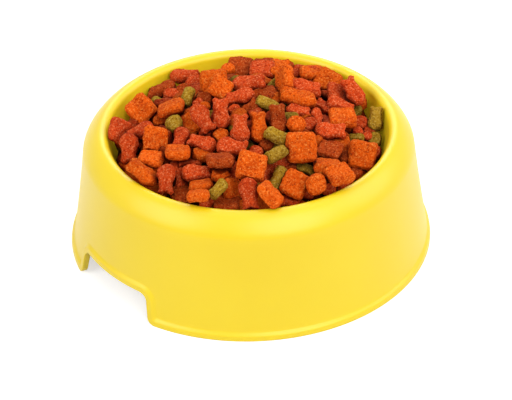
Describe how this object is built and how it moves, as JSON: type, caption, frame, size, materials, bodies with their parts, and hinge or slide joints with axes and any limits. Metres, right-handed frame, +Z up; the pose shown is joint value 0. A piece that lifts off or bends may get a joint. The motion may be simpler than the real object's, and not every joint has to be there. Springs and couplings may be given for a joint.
{
  "type": "pet food bowl",
  "caption": "Round pet feeding bowl with a flared skirt, rolled rim and lipped finger notches, heaped with dry kibble in square, fish, bone and disc shapes.",
  "frame": {"origin": "on the table, under the middle of the bowl", "axes": "+Z up out of the mouth, the finger notches towards +X and -X"},
  "size_m": [0.1784, 0.1834, 0.0855],
  "materials": {
    "bowl_plastic": "satin",
    "kibble_orange": "matte, porous",
    "kibble_coral": "matte, porous",
    "kibble_brown": "matte, porous",
    "kibble_olive": "matte, porous"
  },
  "bodies": {
    "root": {"bowl": "bowl_plastic", "kibble_bed": "kibble_brown", "square_kibble_01": "kibble_brown", "square_kibble_02": "kibble_orange", "fish_kibble_01": "kibble_coral", "fish_kibble_02": "kibble_brown", "square_kibble_03": "kibble_coral", "square_kibble_04": "kibble_orange", "square_kibble_05": "kibble_orange", "disc_kibble_01": "kibble_coral", "fish_kibble_03": "kibble_coral", "bone_kibble_01": "kibble_olive", "fish_kibble_04": "kibble_coral", "fish_kibble_05": "kibble_orange", "fish_kibble_06": "kibble_coral", "square_kibble_06": "kibble_coral", "fish_kibble_07": "kibble_coral", "fish_kibble_08": "kibble_coral", "fish_kibble_09": "kibble_olive", "square_kibble_07": "kibble_orange", "square_kibble_08": "kibble_orange", "square_kibble_09": "kibble_coral", "disc_kibble_02": "kibble_olive", "fish_kibble_10": "kibble_coral", "square_kibble_10": "kibble_orange", "fish_kibble_11": "kibble_coral", "bone_kibble_02": "kibble_olive", "square_kibble_11": "kibble_orange", "fish_kibble_12": "kibble_coral", "fish_kibble_13": "kibble_coral", "fish_kibble_14": "kibble_brown", "disc_kibble_03": "kibble_orange", "fish_kibble_15": "kibble_orange", "fish_kibble_16": "kibble_coral", "fish_kibble_17": "kibble_coral", "bone_kibble_03": "kibble_olive", "fish_kibble_18": "kibble_coral", "square_kibble_12": "kibble_brown", "square_kibble_13": "kibble_orange", "square_kibble_14": "kibble_orange", "fish_kibble_19": "kibble_coral", "bone_kibble_04": "kibble_olive", "square_kibble_15": "kibble_orange", "square_kibble_16": "kibble_orange", "square_kibble_17": "kibble_brown", "square_kibble_18": "kibble_orange", "square_kibble_19": "kibble_orange", "fish_kibble_20": "kibble_coral", "square_kibble_20": "kibble_orange", "disc_kibble_04": "kibble_orange", "fish_kibble_21": "kibble_orange", "fish_kibble_22": "kibble_coral", "bone_kibble_05": "kibble_olive", "square_kibble_21": "kibble_orange", "disc_kibble_05": "kibble_orange", "square_kibble_22": "kibble_orange", "bone_kibble_06": "kibble_olive", "fish_kibble_23": "kibble_coral", "square_kibble_23": "kibble_orange", "square_kibble_24": "kibble_orange"}
  },
  "joints": []
}
